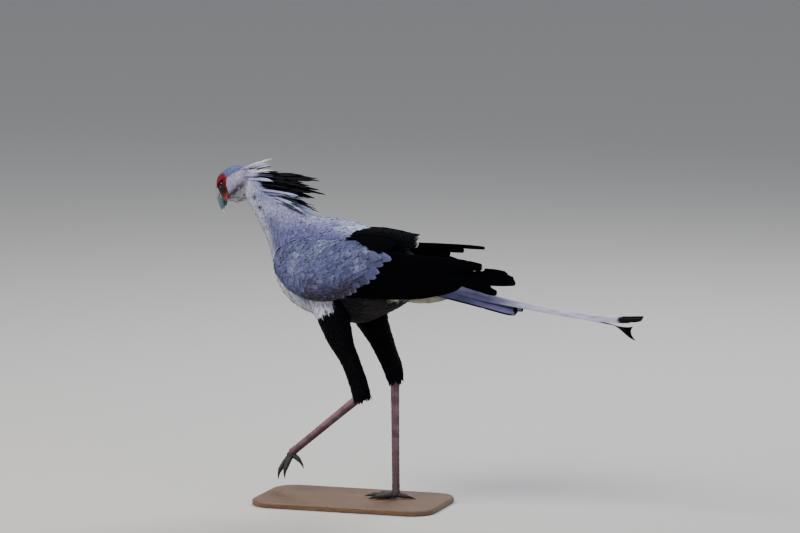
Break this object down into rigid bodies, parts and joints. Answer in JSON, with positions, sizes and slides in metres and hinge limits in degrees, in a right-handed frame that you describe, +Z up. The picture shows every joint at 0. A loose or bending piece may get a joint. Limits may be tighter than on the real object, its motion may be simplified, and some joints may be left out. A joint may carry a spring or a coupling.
{
  "type": "secretary bird model",
  "caption": "Life-size still secretary bird in mid-stride, near foot lifted, with crest, folded wings and long streamer tail, on a flat display base.",
  "frame": {"origin": "centre of the display base's underside", "axes": "+Z up; the bird faces -X, so its tail points to +X and its left side to -Y"},
  "size_m": [1.182, 0.28, 0.9048],
  "materials": {
    "grey_feathers": "matte blue-grey plumage",
    "pale_feathers": "matte pale grey plumage",
    "wing_feathers": "grey coverts over black flight feathers, slight sheen",
    "black_feathers": "soft black plumage",
    "shank_skin": "scaled pinkish grey skin",
    "toe_skin": "rough dark skin",
    "claw_horn": "smooth dark horn",
    "bill_horn": "smooth blue-grey horn",
    "eye_gloss": "wet dark brown",
    "base_board": "satin stained board"
  },
  "bodies": {
    "root": {"torso": "grey_feathers", "neck_lower": "pale_feathers", "neck_upper": "pale_feathers", "head": "pale_feathers", "eye_left": "eye_gloss", "eye_right": "eye_gloss", "bill_upper": "bill_horn", "bill_lower": "bill_horn", "thigh_left": "black_feathers", "shank_left": "shank_skin", "foot_left": "toe_skin", "claw_left_middle": "claw_horn", "claw_left_inner": "claw_horn", "claw_left_outer": "claw_horn", "claw_left_hind": "claw_horn", "wing_left": "wing_feathers", "thigh_right": "black_feathers", "shank_right": "shank_skin", "foot_right": "toe_skin", "claw_right_middle": "claw_horn", "claw_right_inner": "claw_horn", "claw_right_outer": "claw_horn", "claw_right_hind": "claw_horn", "wing_right": "wing_feathers", "tail": "pale_feathers", "stand_base": "base_board"}
  },
  "joints": []
}
